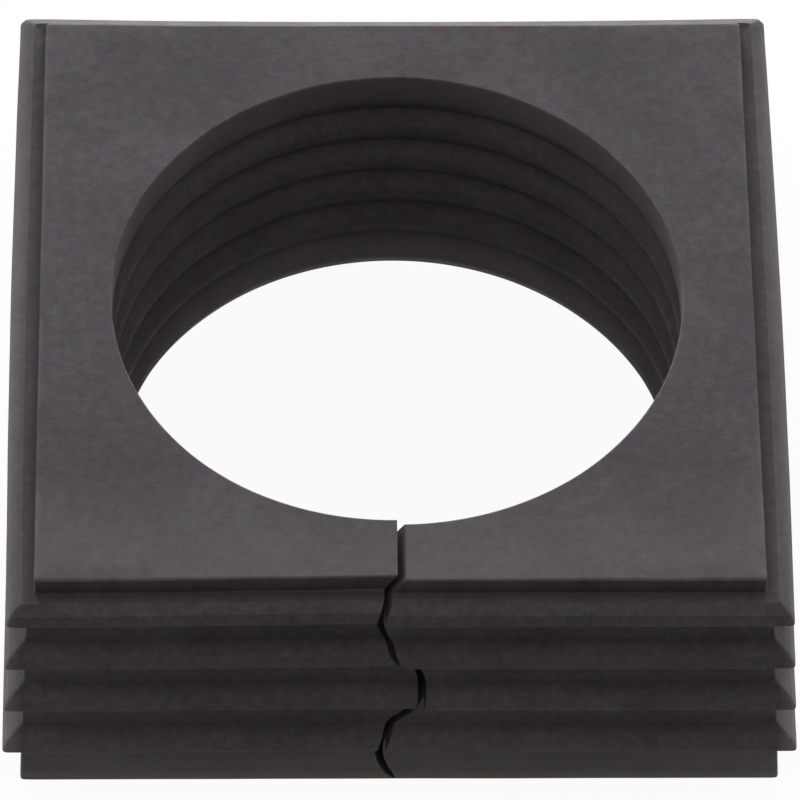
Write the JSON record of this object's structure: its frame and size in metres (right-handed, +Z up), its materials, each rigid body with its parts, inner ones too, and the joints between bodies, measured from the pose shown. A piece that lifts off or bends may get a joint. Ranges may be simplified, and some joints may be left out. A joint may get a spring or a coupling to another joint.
{
  "type": "split cable grommet",
  "caption": "Square one-piece elastomer grommet with saw-tooth sealing lips, a ribbed round bore for a cable and a wavy slit through one wall.",
  "frame": {"origin": "centre of the lower face, on the bore's axis", "axes": "+Z up along the bore's axis towards the narrow face, -Y towards the wall with the slit, +X to the right as seen from that wall"},
  "size_m": [0.0444, 0.0444, 0.017],
  "materials": {
    "black_elastomer": "matt moulded elastomer, faintly mottled"
  },
  "bodies": {
    "root": {"grommet_body": "black_elastomer"}
  },
  "joints": []
}
